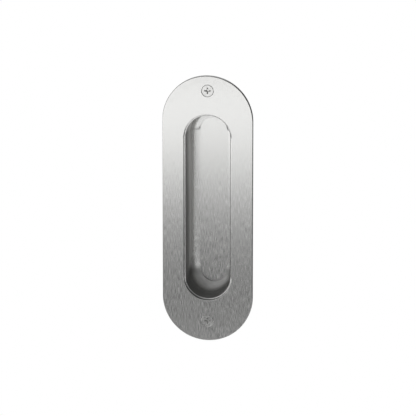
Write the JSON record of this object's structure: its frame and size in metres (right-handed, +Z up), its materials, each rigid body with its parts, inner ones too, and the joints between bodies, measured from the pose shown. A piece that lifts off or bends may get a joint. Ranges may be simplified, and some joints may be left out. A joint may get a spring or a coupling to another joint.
{
  "type": "recessed pull handle",
  "caption": "Flush pull for a sliding door: flat brushed plate with round ends, a long drawn finger recess behind its opening and countersunk fixing screws.",
  "frame": {"origin": "on the plane of the door's surface, midway between the axes of the two screws", "axes": "+X to the right and +Z up along the plate as seen on the door; the face looks towards -Y, and +Y points into the door along the screws"},
  "size_m": [0.061, 0.0253, 0.1815],
  "materials": {
    "plate_steel": "brushed along its length, satin",
    "cup_steel": "drawn sheet, brushed along its length, satin",
    "screw_steel": "turned stainless steel, satin"
  },
  "bodies": {
    "root": {"face_plate": "plate_steel", "recess_cup": "cup_steel", "upper_screw": "screw_steel", "lower_screw": "screw_steel"}
  },
  "joints": []
}
